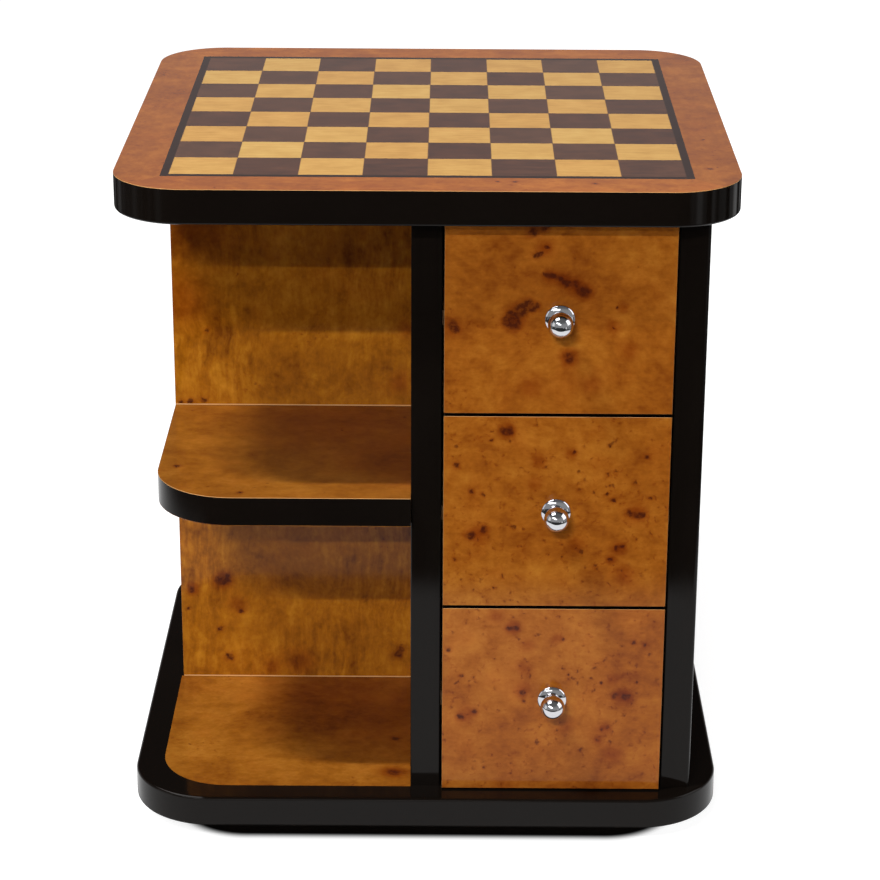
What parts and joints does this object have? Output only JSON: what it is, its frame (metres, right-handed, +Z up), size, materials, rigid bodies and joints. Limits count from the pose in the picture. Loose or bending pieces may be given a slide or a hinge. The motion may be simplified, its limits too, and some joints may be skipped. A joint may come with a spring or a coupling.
{
  "type": "chess table",
  "caption": "Square table with an inlaid chessboard top, round-cornered open shelves and small drawers facing front and rear, on a recessed plinth.",
  "frame": {"origin": "on the floor under the centre of the table, the bottom centre of its bounding box", "axes": "+X to the right, +Y to the back and +Z up, seen from the side that has the drawers on the right"},
  "size_m": [0.6, 0.6156, 0.7],
  "materials": {
    "black_lacquer": "high gloss black lacquer over solid wood and board",
    "drawer_edge_lacquer": "satin black lacquer on the drawer face's board",
    "burl_veneer": "glossy lacquered burl veneer, golden brown",
    "border_burl": "glossy lacquered burl veneer, reddish brown",
    "light_veneer": "glossy lacquered light veneer",
    "dark_veneer": "glossy lacquered dark veneer",
    "dark_stringing": "glossy lacquered dark stringing",
    "core_board": "raw wood fibre board",
    "beech": "planed beech, thin clear lacquer",
    "plywood": "birch plywood, thin clear lacquer",
    "knob_chrome": "polished chrome plate",
    "screw_steel": "zinc plated steel",
    "glide_plastic": "hard black nylon"
  },
  "bodies": {
    "table": {"base_core": "black_lacquer", "base_edge_lipping": "black_lacquer", "base_inlay_veneers": "burl_veneer", "base_screws": "screw_steel", "board_stringing": "dark_stringing", "carcass_dowels": "beech", "cross_wall": "core_board", "dark_squares": "dark_veneer", "divider_veneers": "burl_veneer", "drawer_runners": "beech", "floor_glides": "glide_plastic", "front_divider": "core_board", "front_shelf_core": "core_board", "front_shelf_edging": "black_lacquer", "front_shelf_veneers": "burl_veneer", "left_side_panel": "core_board", "light_squares": "light_veneer", "plinth_frame": "black_lacquer", "rear_divider": "core_board", "rear_shelf_core": "core_board", "rear_shelf_edging": "black_lacquer", "rear_shelf_veneers": "burl_veneer", "right_side_panel": "core_board", "runner_screws": "screw_steel", "side_veneers": "burl_veneer", "top_border_veneer": "border_burl", "top_core": "black_lacquer", "top_edge_lipping": "black_lacquer", "upright_lippings": "black_lacquer", "wall_veneers": "burl_veneer"},
    "front_lower_drawer": {"front_lower_drawer_bottom": "plywood", "front_lower_drawer_face": "drawer_edge_lacquer", "front_lower_drawer_knob": "knob_chrome", "front_lower_drawer_veneer": "burl_veneer", "front_lower_drawer_walls": "beech"},
    "front_middle_drawer": {"front_middle_drawer_bottom": "plywood", "front_middle_drawer_face": "drawer_edge_lacquer", "front_middle_drawer_knob": "knob_chrome", "front_middle_drawer_veneer": "burl_veneer", "front_middle_drawer_walls": "beech"},
    "front_upper_drawer": {"front_upper_drawer_bottom": "plywood", "front_upper_drawer_face": "drawer_edge_lacquer", "front_upper_drawer_knob": "knob_chrome", "front_upper_drawer_veneer": "burl_veneer", "front_upper_drawer_walls": "beech"},
    "rear_lower_drawer": {"rear_lower_drawer_bottom": "plywood", "rear_lower_drawer_face": "drawer_edge_lacquer", "rear_lower_drawer_knob": "knob_chrome", "rear_lower_drawer_veneer": "burl_veneer", "rear_lower_drawer_walls": "beech"},
    "rear_middle_drawer": {"rear_middle_drawer_bottom": "plywood", "rear_middle_drawer_face": "drawer_edge_lacquer", "rear_middle_drawer_knob": "knob_chrome", "rear_middle_drawer_veneer": "burl_veneer", "rear_middle_drawer_walls": "beech"},
    "rear_upper_drawer": {"rear_upper_drawer_bottom": "plywood", "rear_upper_drawer_face": "drawer_edge_lacquer", "rear_upper_drawer_knob": "knob_chrome", "rear_upper_drawer_veneer": "burl_veneer", "rear_upper_drawer_walls": "beech"}
  },
  "joints": [
    {"name": "front_lower_drawer_slide", "type": "slide", "parent": "table", "child": "front_lower_drawer", "axis": [0, -1, 0], "range_m": [0, 0.19]},
    {"name": "front_middle_drawer_slide", "type": "slide", "parent": "table", "child": "front_middle_drawer", "axis": [0, -1, 0], "range_m": [0, 0.19]},
    {"name": "front_upper_drawer_slide", "type": "slide", "parent": "table", "child": "front_upper_drawer", "axis": [0, -1, 0], "range_m": [0, 0.19]},
    {"name": "rear_lower_drawer_slide", "type": "slide", "parent": "table", "child": "rear_lower_drawer", "axis": [0, 1, 0], "range_m": [0, 0.19]},
    {"name": "rear_middle_drawer_slide", "type": "slide", "parent": "table", "child": "rear_middle_drawer", "axis": [0, 1, 0], "range_m": [0, 0.19]},
    {"name": "rear_upper_drawer_slide", "type": "slide", "parent": "table", "child": "rear_upper_drawer", "axis": [0, 1, 0], "range_m": [0, 0.19]}
  ]
}
